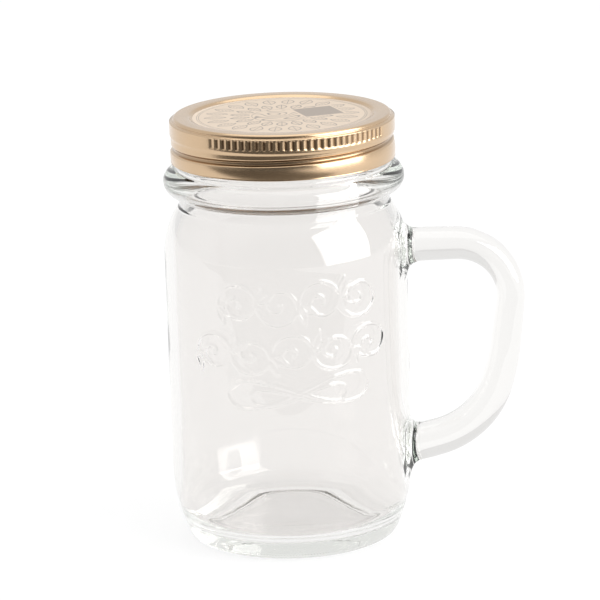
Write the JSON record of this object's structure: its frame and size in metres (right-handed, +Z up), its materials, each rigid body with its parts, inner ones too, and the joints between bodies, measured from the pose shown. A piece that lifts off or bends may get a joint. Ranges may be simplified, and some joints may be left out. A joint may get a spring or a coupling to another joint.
{
  "type": "handled glass jar with screw cap",
  "caption": "Clear glass drinking jar with a side handle, a raised ornament and a gold one-piece screw cap that unscrews and lifts off.",
  "frame": {"origin": "centre of the ring that the jar stands on, on the jar's axis", "axes": "+Z up along the jar's axis, +X towards the handle, -Y the front with the raised ornament"},
  "size_m": [0.1151, 0.0776, 0.1378],
  "materials": {
    "glass": "clear polished soda-lime glass",
    "gold_tinplate": "satin gold lacquered tinplate",
    "sealing_compound": "matt flowed-in compound"
  },
  "bodies": {
    "jar": {"jar": "glass", "handle": "glass"},
    "cap_lift": {"sealing_ring": "sealing_compound"},
    "cap": {"lid": "gold_tinplate"}
  },
  "joints": [
    {"name": "lid_lift", "type": "slide", "parent": "jar", "child": "cap_lift", "axis": [0, 0, 1], "range_m": [0, 0.0226]},
    {"name": "lid_turn", "type": "hinge", "parent": "cap_lift", "child": "cap", "pos_m": [0, 0, 0.13], "axis": [0, 0, 1], "range_deg": [0, 1800]}
  ],
  "couplings": [
    {"joint": "lid_lift", "follows": "lid_turn", "m_per_rad": 0.0007162}
  ]
}
